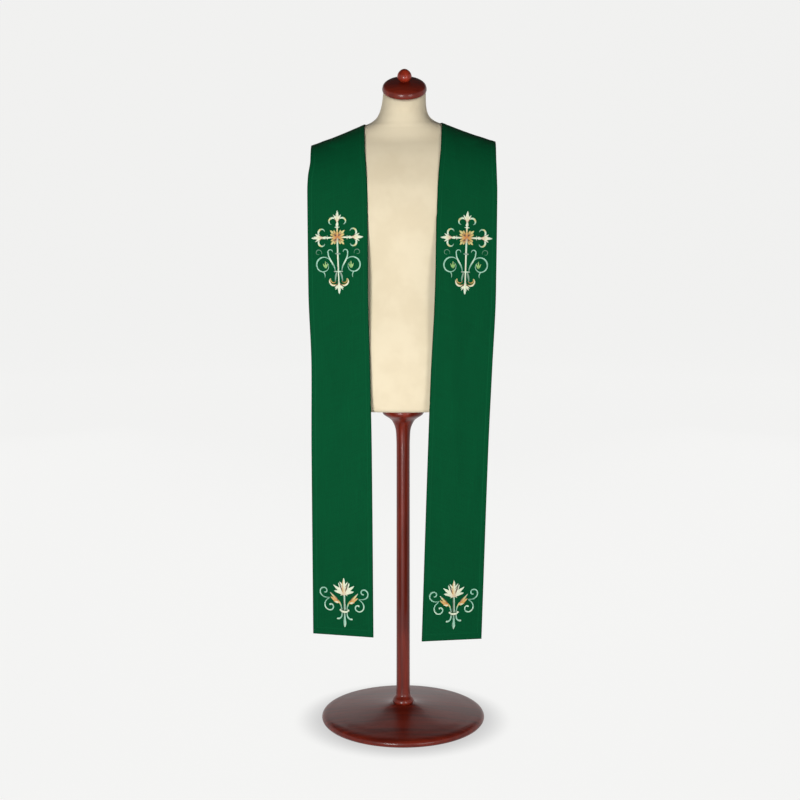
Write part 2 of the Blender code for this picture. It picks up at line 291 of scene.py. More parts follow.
# Level sections of the form, foot to neck: height, half width, half depth, centre, squareness
form = {
    "rings": (
        (0.780, 0.171, 0.101, 0.006, 2.3), (0.860, 0.179, 0.107, 0.006, 2.3),
        (0.930, 0.175, 0.106, 0.004, 2.3), (1.000, 0.160, 0.099, 0.002, 2.2),
        (1.070, 0.149, 0.093, 0.000, 2.2), (1.130, 0.152, 0.098, 0.000, 2.2),
        (1.200, 0.168, 0.111, 0.000, 2.2), (1.250, 0.182, 0.116, 0.001, 2.2),
        (1.300, 0.198, 0.112, 0.002, 2.2), (1.335, 0.2075, 0.102, 0.002, 2.15),
        (1.365, 0.2130, 0.090, 0.002, 2.1), (1.380, 0.2135, 0.083, 0.002, 2.05),
        (1.390, 0.2115, 0.0775, 0.002, 2.0), (1.396, 0.2085, 0.0740, 0.002, 2.0),
        (1.4015, 0.2030, 0.0705, 0.002, 2.0), (1.407, 0.1930, 0.0670, 0.002, 2.0),
        (1.4175, 0.1625, 0.0620, 0.002, 2.0), (1.4290, 0.1320, 0.0585, 0.002, 2.0),
        (1.4390, 0.1070, 0.0562, 0.002, 2.0), (1.4460, 0.0890, 0.0548, 0.001, 2.0),
        (1.4525, 0.0740, 0.0533, 0.000, 2.0), (1.462, 0.0620, 0.0522, -0.002, 2.0),
        (1.475, 0.0550, 0.0510, -0.004, 2.0), (1.490, 0.0515, 0.0500, -0.007, 2.0),
        (1.505, 0.0500, 0.0496, -0.010, 2.0), (1.5215, 0.0492, 0.0492, -0.012, 2.0),
    ),
    "shoulderFrom": 1.300, "shoulderTo": 1.390, "shoulderEnd": 1.407,
    "neckFrom": 1.455, "neckTop": 1.5215,
    "neckLean": tan(radians(26.0)), "neckAside": 0.0030, "shoulderTilt": tan(radians(1.3)),
    "footRounding": 0.012,
    "coverTurn": 0.004,  # how far the cover turns in under the cap
    "sides": 168, "girthRow": 40,  # the knit's width is measured round this row
    "heights": ((0.780, 1.36, 74), (1.36, 1.47, 46), (1.47, 1.5175, 16)),  # rows of faces: from, to, how many
}
ringTable = np.array(form["rings"])


def smoothThrough(at, knots, values):  # a curve through the values that never swings past them
    knots = np.asarray(knots, float)
    values = np.asarray(values, float)
    steps = np.diff(knots)
    rises = np.diff(values) / steps
    slopes = np.zeros_like(values)
    slopes[0] = rises[0]
    slopes[-1] = rises[-1]
    sameWay = rises[:-1] * rises[1:] > 0
    both = np.where(sameWay, rises[:-1] + rises[1:], 1.0)
    slopes[1:-1] = np.where(sameWay, 2 * rises[:-1] * rises[1:] / both, 0.0)
    at = np.clip(at, knots[0], knots[-1])
    span = np.clip(np.searchsorted(knots, at, side="right") - 1, 0, len(steps) - 1)
    step = steps[span]
    part = (at - knots[span]) / step
    rise = 3 * part**2 - 2 * part**3
    level = values[span] * (1 - rise) + values[span + 1] * rise
    leaving = slopes[span] * (part**3 - 2 * part**2 + part)
    arriving = slopes[span + 1] * (part**3 - part**2)
    return level + step * (leaving + arriving)


def smoothStep(value, low, high):
    part = np.clip((np.asarray(value, float) - low) / (high - low), 0.0, 1.0)
    return part * part * (3 - 2 * part)


def distances(points, axis=0):  # from the first point along the way through them
    steps = np.linalg.norm(np.diff(points, axis=axis), axis=-1)
    return np.concatenate([np.zeros_like(steps.take([0], axis)), np.cumsum(steps, axis)], axis)


def ringValue(column, z):
    return smoothThrough(z, ringTable[:, 0], ringTable[:, column])


def carried(points):  # one shoulder is carried a little higher, the neck is level
    moved = np.array(points, float)
    z = moved[..., 2]
    share = smoothStep(z, form["shoulderFrom"], form["shoulderTo"])
    share = share - smoothStep(z, form["neckFrom"], form["neckTop"])
    moved[..., 2] = z + form["shoulderTilt"] * moved[..., 0] * share
    return moved


def sheetOf(name, points):
    # a grid primitive, its points set row by row
    rows, columns = points.shape[:2]
    bpy.ops.object.select_all(action="DESELECT")
    bpy.ops.mesh.primitive_grid_add(x_subdivisions=columns - 1, y_subdivisions=rows - 1, size=1.0)
    piece = bpy.context.active_object
    piece.name = name
    piece.data.name = name
    piece.data.vertices.foreach_set("co", points.reshape(-1).astype(np.float32))
    piece.data.update()
    return piece


def giveMap(piece, name, first, second):  # one pair of values for each vertex
    values = np.stack(np.broadcast_arrays(first, second), -1).reshape(-1, 2)
    layer = piece.data.uv_layers.new(name=name)
    corners = np.empty(len(piece.data.loops), np.int32)
    piece.data.loops.foreach_get("vertex_index", corners)
    layer.data.foreach_set("uv", values.astype(np.float32)[corners].reshape(-1))


def mend(merge, inside=False):  # leaves edit mode with near points joined and the faces turned one way
    bpy.ops.mesh.select_all(action="SELECT")
    bpy.ops.mesh.remove_doubles(threshold=merge)
    bpy.ops.mesh.normals_make_consistent(inside=inside)
    bpy.ops.object.mode_set(mode="OBJECT")


def makeForm():
    *lower, (neck, rim, last) = form["heights"]
    heights = [np.linspace(start, end, count, endpoint=False) for start, end, count in lower]
    heights = np.concatenate([*heights, np.linspace(neck, rim, last)])
    cover = form["coverTurn"]
    rounding = form["footRounding"]
    turns = np.linspace(0, 2 * pi, form["sides"] + 1)
    rows = []

    def ring(z, inset):
        width, depth, centre, square = (float(ringValue(column, z)) for column in (1, 2, 3, 4))
        x = (width - inset) * np.sign(np.cos(turns)) * np.abs(np.cos(turns)) ** (2 / square)
        y = centre + (depth - inset) * np.sign(np.sin(turns)) * np.abs(np.sin(turns)) ** (2 / square)
        rows.append(np.stack([x, y, np.full_like(x, z)], -1))

    for turn in np.linspace(0, pi / 2, 6):  # rounded foot
        ring(ringTable[0, 0] + rounding * (1 - cos(turn)), rounding * (1 - sin(turn)))
    for z in heights[heights > ringTable[0, 0] + rounding + 0.004]:  # clear of the rounding
        ring(float(z), 0.0)
    for turn in np.linspace(0, pi / 2, 5)[1:]:  # cover turned in under the cap
        ring(form["neckTop"] - cover + cover * sin(turn), cover * (1 - cos(turn)))
    level = np.array(rows)
    points = carried(level)
    lean = smoothStep(level[..., 2], form["neckFrom"], form["neckTop"])
    points[..., 2] += lean * form["neckLean"] * (points[..., 1] - ringTable[-1, 3])
    points[..., 0] += lean * form["neckAside"]
    points[:, -1] = points[:, 0]
    piece = sheetOf("torso", points)
    giveMap(piece, "cloth", distances(points[form["girthRow"]]), level[..., 2])
    pick(piece)
    bpy.ops.object.mode_set(mode="EDIT")
    bpy.ops.mesh.select_all(action="SELECT")
    bpy.ops.mesh.remove_doubles(threshold=0.00001)
    bpy.ops.mesh.select_all(action="DESELECT")
    bpy.ops.mesh.select_mode(type="EDGE")
    bpy.ops.mesh.select_non_manifold(extend=False)
    bpy.ops.mesh.edge_face_add()
    mend(0.00001)
    bpy.ops.object.shade_smooth_by_angle(angle=radians(50))
    wear(piece, jerseyFinish, ("form_body",))
    return piece


torso = makeForm()
print("form made", len(torso.data.polygons))


def rounded(outline, parts=5):  # a smooth way through an outline's points
    points = np.array(outline, float)
    padded = np.concatenate([[2 * points[0] - points[1]], points, [2 * points[-1] - points[-2]]])
    way = []
    for first, start, end, last in zip(padded, padded[1:], padded[2:], padded[3:]):
        for part in np.linspace(0, 1, parts, endpoint=False):
            square = 2 * first - 5 * start + 4 * end - last
            cube = 3 * start - first - 3 * end + last
            way.append(0.5 * (2 * start + (end - first) * part + square * part**2 + cube * part**3))
    way.append(points[-1])
    return np.array(way)


def turnedRound(name, way, steps, merge=0.00001, inside=False):  # spins a half outline round the upright axis
    line = bpy.data.curves.new(name, "CURVE")
    line.dimensions = "3D"
    spline = line.splines.new("POLY")
    spline.points.add(len(way) - 1)
    for point, (radius, height) in zip(spline.points, way):
        point.co = (radius, 0.0, height, 1.0)
    piece = bpy.data.objects.new(name, line)
    bpy.context.scene.collection.objects.link(piece)
    pick(piece)
    bpy.ops.object.convert(target="MESH")
    piece = bpy.context.active_object
    bpy.ops.object.mode_set(mode="EDIT")
    bpy.ops.mesh.select_all(action="SELECT")
    bpy.ops.mesh.spin(steps=steps, angle=2 * pi, center=(0, 0, 0), axis=(0, 0, 1))
    mend(merge, inside)
    return piece


def spun(name, outline, place, lean=0.0, steps=96):
    # the half outline is spun round its axis, then leans forwards about its foot
    way = rounded(outline)
    way[:, 0] = np.maximum(way[:, 0], 0.0001)  # never over the axis
    way = np.concatenate([[[0.0, way[0, 1]]], way, [[0.0, way[-1, 1]]]])
    piece = turnedRound(name, way, steps)
    bpy.ops.object.shade_smooth_by_angle(angle=radians(45))
    points = np.empty(len(piece.data.vertices) * 3, np.float32)
    piece.data.vertices.foreach_get("co", points)
    points = points.reshape(-1, 3).astype(float)
    y = points[:, 1] * cos(lean) - points[:, 2] * sin(lean)
    z = points[:, 1] * sin(lean) + points[:, 2] * cos(lean)
    points = np.stack([points[:, 0], y, z], -1) + np.array(place)
    piece.data.vertices.foreach_set("co", points.reshape(-1).astype(np.float32))
    piece.data.update()
    return piece


stand = {
    "lean": radians(26.0), "gap": 0.0003, "baseHeight": 0.042, "capHeight": 0.0250,
    "base": (
        (0.186, 0.000), (0.192, 0.0007), (0.197, 0.003), (0.200, 0.009), (0.197, 0.016),
        (0.188, 0.020), (0.170, 0.0225), (0.150, 0.025), (0.120, 0.0280), (0.090, 0.031),
        (0.066, 0.0336), (0.050, 0.036), (0.038, 0.0388), (0.032, 0.041), (0.030, 0.042),
    ),
    "pole": (
        (0.022, 0.000), (0.024, 0.0006), (0.026, 0.005), (0.024, 0.012), (0.0195, 0.018),
        (0.0175, 0.024), (0.0168, 0.040), (0.0165, 0.060), (0.0163, 0.250), (0.0161, 0.450),
        (0.0160, 0.620), (0.0164, 0.660), (0.0185, 0.686), (0.026, 0.704), (0.034, 0.712),
        (0.042, 0.717), (0.048, 0.722), (0.050, 0.728), (0.0488, 0.7350), (0.047, 0.7374),
    ),
    "cap": (
        (0.0472, 0.0000), (0.0490, 0.0003), (0.0503, 0.0012), (0.0515, 0.0038), (0.0513, 0.0078),
        (0.0498, 0.0127), (0.0464, 0.0168), (0.0404, 0.0204), (0.0316, 0.0230), (0.0215, 0.0245),
        (0.0100, 0.0250),
    ),
    "knob": (
        (0.0092, 0.0000), (0.0101, 0.0005), (0.0112, 0.0014), (0.0133, 0.0036), (0.0155, 0.0068),
        (0.0166, 0.0104), (0.0163, 0.0142), (0.0147, 0.0184), (0.0120, 0.0222), (0.0084, 0.0256),
        (0.0046, 0.0277), (0.0014, 0.0283),
    ),
}


def makeStand():
    lean = stand["lean"]
    seat = np.array([form["neckAside"], ringTable[-1, 3], form["neckTop"]])
    up = np.array([0.0, -sin(lean), cos(lean)])
    flatGrain = makeWood("red_wood_turned", upright=False)
    upGrain = makeWood("red_wood_upright")
    knobGrain = makeWood("red_wood_knob", lift=redWood["knobLift"])
    base = spun("foot", stand["base"], (0, 0, 0), steps=128)
    pole = spun("pole", stand["pole"], (0, 0, stand["baseHeight"] + stand["gap"]), steps=72)
    cap = spun("neckCap", stand["cap"], seat + up * stand["gap"], lean)
    knob = spun("knob", stand["knob"], seat + up * (stand["capHeight"] + 2 * stand["gap"]), lean, steps=72)
    wear(base, flatGrain, ("stand_base",))
    wear(pole, upGrain, ("stand_pole",))
    wear(cap, flatGrain, ("neck_cap",))
    wear(knob, knobGrain, ("cap_knob",))


makeStand()
print("wood made")


cloth = {
    "gap": 0.0006, "thickness": 0.0019, "seamGap": 0.0003,
    "chestFront": 0.1075, "chestAt": 0.083, "turn": tan(radians(15.0)),
    "innerCurve": 0.200, "curveLoss": 0.68,
    "backInnerZ": 1.4340, "backDepth": 0.1440, "backInnerY": 0.0620, "backOuterY": 0.0990, "crowding": 1.1,
    "heldTo": 0.165, "freeFrom": 0.200,
    "backRows": 84, "curveRows": 60, "hangStep": 0.0075,
    "width": 0.135, "columns": 26,
    # how far in from an edge, and up from the hem, the rows of faces that lie close together are
    "byEdge": (0.0, 0.0008, 0.002, 0.0038, 0.006, 0.0080, 0.0092, 0.0102, 0.0112, 0.0126, 0.0150, 0.0185),
    "byHem": (0.0, 0.0008, 0.002, 0.0038, 0.006, 0.009, 0.0125, 0.0145, 0.0156, 0.0166, 0.018, 0.021, 0.026),
    "calmEdge": 0.012,  # creases end this far from an edge
    "outwardTo": 0.26,  # on the form, down to here, creases only stand outwards
    "turnedLift": 0.00045, "turnedFade": 0.0008,  # where the cloth is turned under it is a little thicker
    "rim": 0.0006,
    "bendFade": 0.8,  # a bend loses this share towards the edge where it fades
    "rounds": 8, "longestMove": 0.01,  # in which the cloth is laid on the form
}
# Edges: drop, inner edge, outer edge. Bends: drop, reach, depth, edge that they fade towards.
# Creases: place across and along, half width and half length, lean, height
strands = {
    "stoleRight": {
        "side": -1, "node": "stole_right", "hem": (0.2435, 0.2415), "cut": (0.177, 1.463),
        "edges": (
            (0.000, 0.0890, 0.2135), (0.045, 0.0870, 0.2135), (0.100, 0.0822, 0.2185),
            (0.150, 0.0804, 0.2200), (0.380, 0.0800, 0.2195), (0.560, 0.0760, 0.2140),
            (0.760, 0.0726, 0.2155), (1.210, 0.0700, 0.2155),
        ),
        "bends": ((0.300, 0.110, 0.0020, 0.0), (0.520, 0.120, -0.0045, 1.0), (0.860, 0.200, 0.0030, 0.0)),
        "creases": (
            (0.30, 0.43, 0.020, 0.130, 0.10, 0.0021), (0.72, 0.56, 0.017, 0.100, -0.16, -0.0019),
            (0.50, 0.78, 0.022, 0.160, 0.06, 0.0023), (0.20, 0.90, 0.014, 0.090, 0.12, -0.0014),
            (0.80, 1.00, 0.016, 0.100, -0.08, 0.0014),
            (0.66, 0.09, 0.012, 0.060, -0.25, 0.0012), (0.34, 0.16, 0.010, 0.050, 0.20, 0.0010),
            (0.25, -0.10, 0.014, 0.045, 0.40, 0.0016), (0.62, -0.14, 0.012, 0.060, 0.30, 0.0013),
            (0.44, -0.05, 0.009, 0.030, -0.30, 0.0010),
        ),
    },
    "stoleLeft": {
        "side": 1, "node": "stole_left", "hem": (0.2360, 0.2305), "cut": (0.175, 1.474),
        "edges": (
            (0.000, 0.0890, 0.2145), (0.045, 0.0855, 0.2140), (0.100, 0.0790, 0.2150),
            (0.150, 0.0765, 0.2160), (0.380, 0.0723, 0.2150), (0.560, 0.0640, 0.2080),
            (0.760, 0.0570, 0.2000), (1.210, 0.0435, 0.1875),
        ),
        "bends": ((0.420, 0.130, 0.0040, 1.0), (0.660, 0.150, -0.0035, 0.0), (0.980, 0.170, 0.0025, 1.0)),
        "creases": (
            (0.26, 0.40, 0.018, 0.110, 0.14, 0.0022), (0.60, 0.50, 0.016, 0.090, -0.18, -0.0020),
            (0.42, 0.72, 0.020, 0.150, 0.08, 0.0024), (0.80, 0.82, 0.015, 0.100, -0.10, 0.0016),
            (0.22, 0.98, 0.016, 0.110, 0.06, -0.0014),
            (0.28, 0.10, 0.012, 0.055, 0.22, 0.0012), (0.70, 0.15, 0.010, 0.060, -0.18, 0.0010),
            (0.35, -0.09, 0.013, 0.050, -0.35, 0.0015), (0.70, -0.13, 0.012, 0.050, -0.25, 0.0013),
            (0.52, -0.06, 0.009, 0.028, 0.28, 0.0010),
        ),
    },
}


def formReach(points):
    x, y, z = np.moveaxis(points, -1, 0)
    square = ringValue(4, z)
    across = np.abs(x) / ringValue(1, z)
    along = np.abs(y - ringValue(3, z)) / ringValue(2, z)
    return (across**square + along**square) ** (1 / square) - 1


def formSlope(points, probe=0.0002):
    steps = np.eye(3) * probe
    rises = [formReach(points + step) - formReach(points - step) for step in steps]
    return np.stack(rises, -1) / (2 * probe)


def laidOnForm(points, hold):
    points = np.array(points, float)
    longest = cloth["longestMove"]
    for _ in range(cloth["rounds"]):
        slope = formSlope(points)
        steepness = np.linalg.norm(slope, axis=-1)
        move = cloth["gap"] - formReach(points) / steepness
        move = np.where(move < 0, move * hold, move)
        points += slope / steepness[..., None] * np.clip(move, -longest, longest)[..., None]
    return points


def shoulderLine(x):
    line = ringTable[ringTable[:, 0] >= form["shoulderEnd"]][::-1]
    fall = (line[-2, 0] - line[-1, 0]) / (line[-1, 1] - line[-2, 1])
    return smoothThrough(x, line[:, 1], line[:, 0]) - fall * np.maximum(x - line[-1, 1], 0.0)


def hangingFront(x):
    return -(cloth["chestFront"] - cloth["turn"] * (x - cloth["chestAt"]))


def edgePlaces(width, steps):  # shares of the width, close together by both edges
    near = np.array(cloth["byEdge"]) / width
    middle = np.linspace(near[-1], 1 - near[-1], steps)[1:-1]
    return np.concatenate([near, middle, (1 - near)[::-1]])


def between(inner, outer, columns):  # from the inner edge across to the outer one
    return inner * (1 - columns) + outer * columns


def frontRows(strand, columns):
    drops, inner, outer = np.array(strand["edges"]).T
    middle = cloth["innerCurve"] - cloth["curveLoss"] * (outer[0] - inner[0]) / 2
    rows = []
    for step in range(cloth["curveRows"] + 1):
        turn = pi / 2 * step / cloth["curveRows"]
        drop = middle * (1 - cos(turn))
        x = between(smoothThrough(drop, drops, inner), smoothThrough(drop, drops, outer), columns)
        height = cloth["innerCurve"] - cloth["curveLoss"] * (x - inner[0])
        z = shoulderLine(x) + cloth["gap"] - height * (1 - cos(turn))
        rows.append(np.stack([x, hangingFront(x) * sin(turn), z], -1))
    chest = rows[-1][:, 2]
    hem = between(*strand["hem"], columns)
    top = shoulderLine(np.array(inner[0]))
    fall = float((chest - hem).mean())
    near = np.array(cloth["byHem"]) / fall
    even = np.linspace(0, 1 - near[-1], int(fall / cloth["hangStep"]))[1:]
    for share in np.concatenate([even, (1 - near)[::-1][1:]]):
        z = chest + (hem - chest) * share
        drop = top - z
        x = between(smoothThrough(drop, drops, inner), smoothThrough(drop, drops, outer), columns)
        y = hangingFront(x)
        for place, reach, depth, fadesTo in strand["bends"]:
            fade = 1 - cloth["bendFade"] * np.abs(columns - (1 - fadesTo))
            y = y - depth * fade * np.exp(-(((drop - place) / reach) ** 2))
        rows.append(np.stack([x, y, z], -1))
    return laidOnForm(np.array(rows), 0.0)


def backRows(strand, columns):
    _, inner, outer = strand["edges"][0]
    topX = between(inner, outer, columns)
    topZ = shoulderLine(topX)
    seamZ = cloth["backInnerZ"] - cloth["backDepth"] * columns
    seamY = between(cloth["backInnerY"], cloth["backOuterY"], columns)
    rows = []
    for step in range(cloth["backRows"]):
        turn = pi / 2 * (1 - step / cloth["backRows"]) ** cloth["crowding"]
        z = topZ + (seamZ - topZ) * sin(turn) ** 2
        rows.append(np.stack([topX * cos(turn), seamY * sin(turn), z], -1))
    grid = np.array(rows)
    laid = laidOnForm(grid, 1 - smoothStep(grid[..., 0], cloth["heldTo"], cloth["freeFrom"]))
    laid[0, :, 0] = cloth["seamGap"] / 2
    return laid


def normalsOf(grid):
    normals = np.cross(np.gradient(grid, axis=0), np.gradient(grid, axis=1))
    return normals / np.linalg.norm(normals, axis=-1, keepdims=True)


def creased(grid, strand):
    along = distances(grid)
    along = along - along[cloth["backRows"]]  # from the shoulder line down
    across = distances(grid, 1)
    width = across[:, -1:]
    fromEdge = np.minimum(across, width - across)
    fromHem = along[-1:] - along
    lift = np.zeros(grid.shape[:2])
    for place, drop, halfWidth, halfLength, lean, height in strand["creases"]:
        aside = across - place * width - lean * (along - drop)
        shape = np.exp(-((aside / halfWidth) ** 2) - ((along - drop) / halfLength) ** 2)
        lift += height * shape * smoothStep(fromEdge, 0.0, cloth["calmEdge"])
    lift = np.where(along < cloth["outwardTo"], np.abs(lift), lift)
    fade = cloth["turnedFade"]
    flat = [
        smoothStep(distance, turn - fade, turn + fade)
        for distance, turn in ((fromEdge, greenCloth["allowance"]), (fromHem, greenCloth["hemTurn"]))
    ]
    lift = lift + cloth["turnedLift"] * np.maximum(1 - flat[0], 1 - flat[1])
    return grid + normalsOf(grid) * lift[..., None], along, across, fromEdge, fromHem


def makeStrand(name, strand):
    columns = edgePlaces(cloth["width"], cloth["columns"])
    grid = np.concatenate([backRows(strand, columns), frontRows(strand, columns)])
    grid, along, across, fromEdge, fromHem = creased(grid, strand)
    faces = np.cross(np.diff(grid, axis=0)[:, :-1], np.diff(grid, axis=1)[:-1])
    area = float(np.linalg.norm(faces, axis=-1).sum())
    grid = carried(grid * np.array([strand["side"], 1.0, 1.0]))
    if strand["side"] < 0:  # rows run the other way, so that the faces still look outwards
        backwards = (part[:, ::-1] for part in (grid, along, across, fromEdge, fromHem))
        grid, along, across, fromEdge, fromHem = backwards
    piece = sheetOf(name, np.ascontiguousarray(grid))
    giveMap(piece, "cloth", across, along)
    giveMap(piece, "edges", fromEdge, fromHem)
    wall = piece.modifiers.new("wall", "SOLIDIFY")
    wall.thickness = cloth["thickness"]
    wall.offset = -1.0
    wall.use_even_offset = False
    rim = piece.modifiers.new("rim", "BEVEL")
    rim.width = cloth["rim"]
    rim.segments = 2
    rim.limit_method = "ANGLE"
    rim.angle_limit = radians(50)
    applyAll(piece)
    bpy.ops.object.shade_smooth_by_angle(angle=radians(60))
    wear(piece, greenFinish, (strand["node"],))
    middle = along[:, along.shape[1] // 2]
    length = float(middle[-1] - middle[0])
    print(name, "faces", len(piece.data.polygons), "area", round(area, 4), "length", round(length, 4))
    return piece, area


stoles = {name: makeStrand(name, strand) for name, strand in strands.items()}


threadColours = {
    "ivory": screen(226, 231, 203), "cream": screen(222, 213, 172), "blush": screen(222, 198, 168),
    "milk": screen(200, 227, 201), "mint": screen(156, 210, 184), "midMint": screen(124, 184, 156),
    "dullMint": screen(98, 144, 120), "grey": screen(140, 158, 142), "straw": screen(208, 198, 122),
    "gold": screen(206, 162, 68), "peach": screen(216, 168, 98), "orange": screen(196, 108, 38),
    "brown": screen(116, 66, 24), "darkBrown": screen(74, 36, 14), "bud": screen(146, 192, 104),
    "leaf": screen(98, 152, 74), "olive": screen(56, 58, 22), "ghost": screen(52, 124, 84),
}


def straight(start, end, bow=0.0):  # a line, or a shallow arc that bows to its right by a share of its length
    start, end = np.array(start, float), np.array(end, float)
    share = np.linspace(0, 1, 5)[:, None]
    aside = np.array([end[1] - start[1], start[0] - end[0]])
    return start + (end - start) * share + aside * bow * 4 * share * (1 - share)


def spiral(middle, radii, angles, closing=1.0):  # closing below 1 draws in early, above 1 late
    share = np.linspace(0, 1, 15)
    radius = radii[0] + (radii[1] - radii[0]) * share**closing
    angle = np.radians(angles[0] + (angles[1] - angles[0]) * share)
    return np.array(middle, float) + np.stack([radius * np.cos(angle), radius * np.sin(angle)], -1)


def swung(start, pull, pullBack, end):  # a cubic curve
    share = np.linspace(0, 1, 8)[:, None]
    weights = ((1 - share) ** 3, 3 * share * (1 - share) ** 2, 3 * share**2 * (1 - share), share**3)
    points = np.array((start, pull, pullBack, end), float)
    return sum(weight * point for weight, point in zip(weights, points))


def stroke(way, halves, threads, level=1, left=None, right=None):
    threads = threads.split()  # colours along the way
    return {"way": way, "halves": halves, "threads": threads, "level": level, "left": left, "right": right}


def petals(root, angles, reaches, half, threads, level=1, **sides):
    fan = []
    for angle, reach in zip(angles, reaches):
        tip = (root[0] + reach * cos(radians(angle)), root[1] + reach * sin(radians(angle)))
        halves = (half * 0.45, half, half * 0.75, 0.5)  # from root to tip
        fan.append(stroke(straight(root, tip), halves, threads, level, **sides))
    return fan


def turned(part, way):  # an arm's end, drawn along +x, for another arm
    sides = {"right": ((1, 0), (0, 1)), "low": ((1, 0), (0, -1)), "up": ((0, 1), (1, 0))}
    other = dict(part, way=part["way"] @ np.array(sides[way], float))
    if way != "right":
        other["left"], other["right"] = part["right"], part["left"]
    return other


def strokesOf(design):
    drawn = [(part, False) for part in design["single"] + design["both"]]
    return drawn + [(part, True) for part in design["both"]]


# A cross with flowered ends: mm from where its arms cross. What is listed under "both" and
# "end" is drawn for one side, and mirrored
def crossDesign():
    both = []
    for side, reach in ((1, 1.0), (-1, 0.92)):  # rosette, above and below the arms
        both += petals((2, 2 * side), (45 * side,), (21.5 * reach,), 4.9, "orange gold straw straw", 1)
        beside, darkLines = (22 * side, 68 * side), (34 * side, 56 * side, 82 * side)
        both += petals((2, 2 * side), beside, (16.5 * reach,) * 2, 3.8, "orange gold straw", 2)
        # dark brown lines in the gaps between the petals
        both += petals((3, 3 * side), darkLines, (12, 12, 11), 0.8, "darkBrown brown", 5)
    # arm, collar and knot
    both.append(stroke(straight((0, 0), (36, 0)), (2.1, 1.9), "orange gold ivory milk milk", 6))
    both.append(stroke(straight((24, -5.5), (24, 5.5)), (0.6, 1.6, 0.6), "dullMint ivory dullMint", 7))
    both.append(stroke(straight((26, 0), (36, 0)), (1.6, 3.4, 1.6), "milk ivory ivory", 7))
    # stem that hooks over at its head, and the scroll that leaves it
    rise = swung((8, -80), (8, -62), (23, -54), (23.5, -37))
    stem = np.concatenate([rise, spiral((17.5, -34), (6.5, 4.5), (5, 185))])
    # the milk partway up the stem is a painted highlight on the mint thread
    both.append(stroke(stem, (0.8, 1.6, 2.0, 1.5, 1.2, 0.7), "dullMint midMint milk mint mint midMint", 1))
    both.append(stroke(spiral((35, -65), (19.5, 8.5), (134, -240), 1.7), (0.8, 1.4, 1.9, 1.6, 1.3, 0.9, 0.6),
                       "midMint mint midMint mint midMint dullMint", 2))
    both.append(stroke(straight((36, -81), (34, -94), 0.12), (1.2, 1.0, 0.5), "mint midMint", 1))
    both += petals((31, -72), (118, 90, 62), (13, 17, 13), 1.9, "leaf bud bud", 3)
    both.append(stroke(spiral((47, -35), (8, 4), (205, -120)), (0.6, 0.8, 0.5), "ghost dullMint ghost", 0))
    # sheath under the tie, and the foot
    both.append(stroke(straight((4.5, -82), (9, -103), -0.04), (1.4, 2.2, 0.8), "grey dullMint dullMint", 0))
    hook = spiral((13, -101), (12.5, 8.5), (-128, 38))
    both.append(stroke(hook, (1.2, 2.4, 1.9, 0.6), "cream ivory ivory straw", 2, "gold"))
    both.append(stroke(spiral((13.5, -99), (7.5, 6), (-160, 25)), (0.6, 1.1, 0.6), "brown gold straw", 3))
    both += petals((1.5, -113), (-52, -30), (13, 11), 1.9, "cream ivory milk", 3)
    both += petals((2.5, -108), (-42,), (11,), 0.8, "brown darkBrown", 5)
    single = [
        stroke(straight((-13, 0), (13, 0)), (8.0, 12.5, 8.0), "olive olive", 0),  # a dark patch under the rosette, painted shade in the gaps between its petals
        stroke(straight((0, 36), (0, 0)), (1.9, 2.1), "milk ivory gold orange", 6),
        # the lower shaft's left side is tinted darker mint: painted shade
        stroke(straight((0, 0), (0, -128)), (2.3, 2.1, 1.8, 1.6), "orange milk" + " ivory" * 7, 6, "midMint"),
        stroke(straight((-6, 24), (6, 24)), (0.8, 1.8, 0.8), "milk ivory milk", 7),
        stroke(straight((0, 26), (0, 36)), (1.6, 3.6, 1.6), "milk ivory ivory", 7),
        stroke(straight((-6.5, -38), (6.5, -38)), (1.2, 2.4, 1.2), "dullMint grey dullMint", 7),
        stroke(straight((-11, -80), (11, -80)), (1.2, 1.6, 1.2), "grey milk grey", 7),
        stroke(straight((0, -104), (0, -133)), (1.6, 3.2, 3.4, 0.8), "cream ivory milk", 5),
    ]
    # an arm's end, along the right arm
    end = [stroke(spiral((36.5, 12.5), (10.8, 6), (-82, 165)), (0.9, 1.9, 2.3, 1.6, 0.7),
                  "cream ivory milk straw mint dullMint", 2)]
    end += petals((42, 1), (36,), (14,), 2.2, "ivory ivory milk", 3)
    end += petals((37, 2), (32,), (11,), 0.8, "brown darkBrown", 5)
    tip = stroke(straight((35, 0), (62.5, 0)), (1.8, 3.4, 4.2, 3.0, 0.7), "blush cream ivory milk", 4)
    for part in end:
        both += [turned(part, "right"), turned(part, "low"), turned(part, "up")]
    both.append(tip)
    single.append(turned(tip, "up"))
    return {"scale": (0.959, 0.975), "both": both, "single": single}


